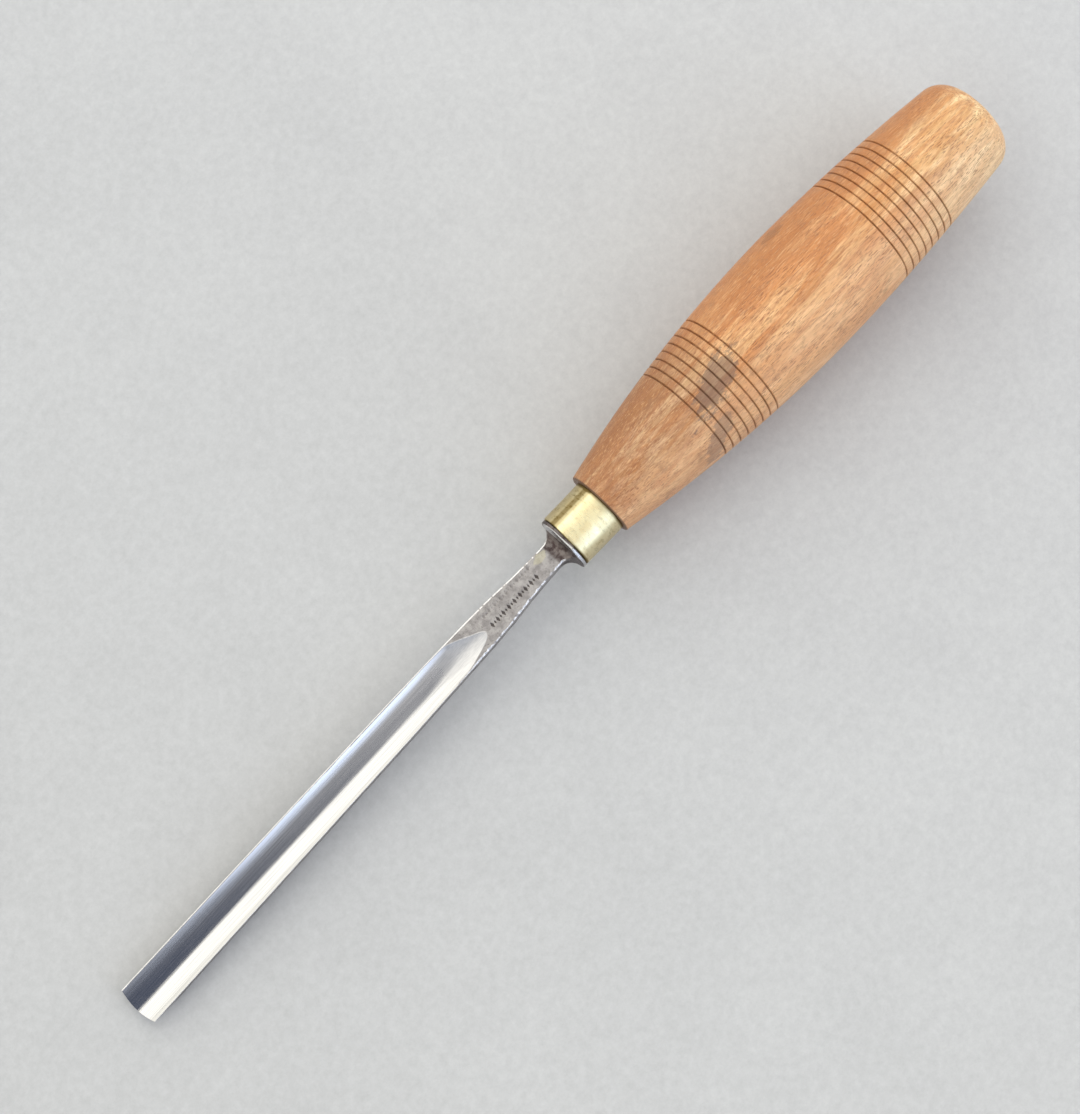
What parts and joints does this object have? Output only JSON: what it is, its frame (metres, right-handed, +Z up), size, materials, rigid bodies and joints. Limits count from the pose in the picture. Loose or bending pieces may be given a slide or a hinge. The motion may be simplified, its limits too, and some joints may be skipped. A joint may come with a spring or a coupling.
{
  "type": "hand gouge",
  "caption": "Straight hand gouge with a hollow steel blade, a brass ferrule and a turned beech handle with bands of fine grooves, for carving wood or lino.",
  "frame": {"origin": "on the tool's own axis where the ferrule's back edge meets the handle's shoulder; the tool is at rest on a bench, which is the horizontal plane through its lowest points", "axes": "+X runs towards the cutting edge, +Z is up with the blade's hollow facing up, +Y is to the left of the blade seen from the butt; the tool's axis dips 3.80 degrees below +X because the tool lies on its belly and the heel of its bevel"},
  "size_m": [0.2578, 0.0286, 0.0299],
  "materials": {
    "beech": "old worn polish, satin",
    "brass": "worn and lightly tarnished",
    "steel": "polished hollow, pitted shank, dark forged bolster"
  },
  "bodies": {
    "root": {"handle": "beech", "ferrule": "brass", "gouge": "steel"}
  },
  "joints": []
}
